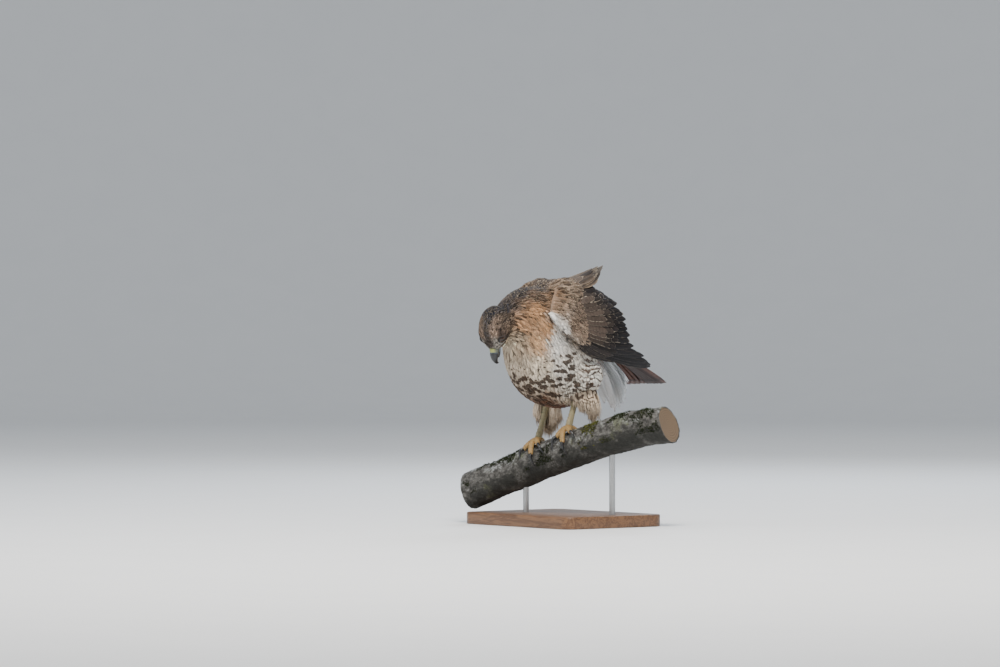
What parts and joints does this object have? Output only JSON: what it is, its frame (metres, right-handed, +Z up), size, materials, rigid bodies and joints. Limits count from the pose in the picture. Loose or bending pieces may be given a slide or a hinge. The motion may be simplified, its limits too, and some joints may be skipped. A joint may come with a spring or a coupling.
{
  "type": "red-tailed hawk model on a branch perch",
  "caption": "Life-size still model of an adult red-tailed hawk bent over its feet on a cut length of branch, held by a plain display stand.",
  "frame": {"origin": "centre of the underside of the stand's base, on the surface it stands on", "axes": "+Z up; the hawk faces -Y, and +X is its left side"},
  "size_m": [0.4742, 0.4546, 0.5189],
  "materials": {
    "body_feathers": "soft barred and streaked body feathers",
    "back_feathers": "brown feathers with buff edges",
    "quills": "dark flight feathers, satin",
    "tail_feathers": "rufous tail feathers, satin",
    "white_feathers": "soft white feathers",
    "leg_skin": "dull yellow scaled skin",
    "cere_skin": "waxy greenish yellow skin",
    "horn": "black horn, satin gloss",
    "eye": "dark brown, wet gloss",
    "bark": "rough grey bark with moss",
    "stand_wood": "dark oiled wood",
    "stand_steel": "brushed steel rod"
  },
  "bodies": {
    "root": {"torso": "body_feathers", "neck": "body_feathers", "head": "body_feathers", "mantle": "back_feathers", "eye_left": "eye", "eye_right": "eye", "cere": "cere_skin", "bill_upper": "horn", "bill_lower": "horn", "tail": "tail_feathers", "undertail": "white_feathers", "thigh_left": "body_feathers", "scapulars_left": "back_feathers", "wing_left": "quills", "tarsus_left": "leg_skin", "foot_left": "leg_skin", "claw_left_1": "horn", "claw_left_2": "horn", "claw_left_3": "horn", "claw_left_4": "horn", "thigh_right": "body_feathers", "scapulars_right": "back_feathers", "wing_right": "quills", "tarsus_right": "leg_skin", "foot_right": "leg_skin", "claw_right_1": "horn", "claw_right_2": "horn", "claw_right_3": "horn", "claw_right_4": "horn", "perch": "bark", "stand_base": "stand_wood", "stand_rod_1": "stand_steel", "stand_rod_2": "stand_steel"}
  },
  "joints": []
}
